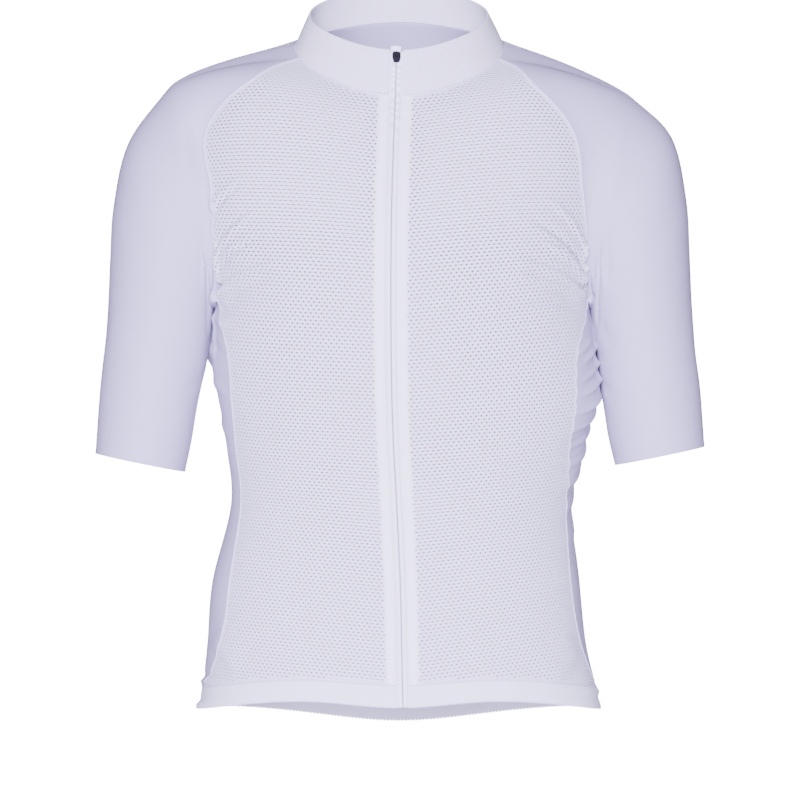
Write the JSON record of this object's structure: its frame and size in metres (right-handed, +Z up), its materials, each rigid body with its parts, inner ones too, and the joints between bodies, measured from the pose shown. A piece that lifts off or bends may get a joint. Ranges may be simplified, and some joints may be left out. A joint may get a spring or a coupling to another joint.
{
  "type": "cycling jersey",
  "caption": "Short-sleeved cycling jersey in worn form, with perforated fronts, raglan sleeves, a stand collar, a full-length front zip, an elastic hem and rear pockets.",
  "frame": {"origin": "middle of the neck opening, level with the points where the collar meets the top of the shoulders", "axes": "+Z up along the wearer's back, the front faces -Y, +X to the garment's own left side"},
  "size_m": [0.5364, 0.2322, 0.659],
  "materials": {
    "mesh_knit": "white perforated warp-knit mesh with a faint lavender cast",
    "smooth_knit": "fine smooth stretch knit, white with a lavender cast, soft sheen",
    "collar_knit": "dense white knit with fine perforations, two layers",
    "elastic": "white woven elastic gripper band",
    "zip_tape": "white woven zip tape",
    "black_metal": "black painted zip slider, satin"
  },
  "bodies": {
    "garment": {"front_left": "mesh_knit", "front_right": "mesh_knit", "back": "smooth_knit", "side_panel_left": "smooth_knit", "side_panel_right": "smooth_knit", "sleeve_left": "smooth_knit", "sleeve_right": "smooth_knit", "collar": "collar_knit", "hem_band": "elastic", "back_pockets": "smooth_knit", "zip_tape_left": "zip_tape", "zip_tape_right": "zip_tape", "zip_garage": "zip_tape", "zip_slider": "black_metal"},
    "pull_tab": {"pull_tab": "black_metal"}
  },
  "joints": [
    {"name": "pull_tab_swing", "type": "hinge", "parent": "garment", "child": "pull_tab", "pos_m": [-0.00304, -0.07141, -0.02357], "axis": [-1, 0, 0], "range_deg": [0, 150]}
  ]
}
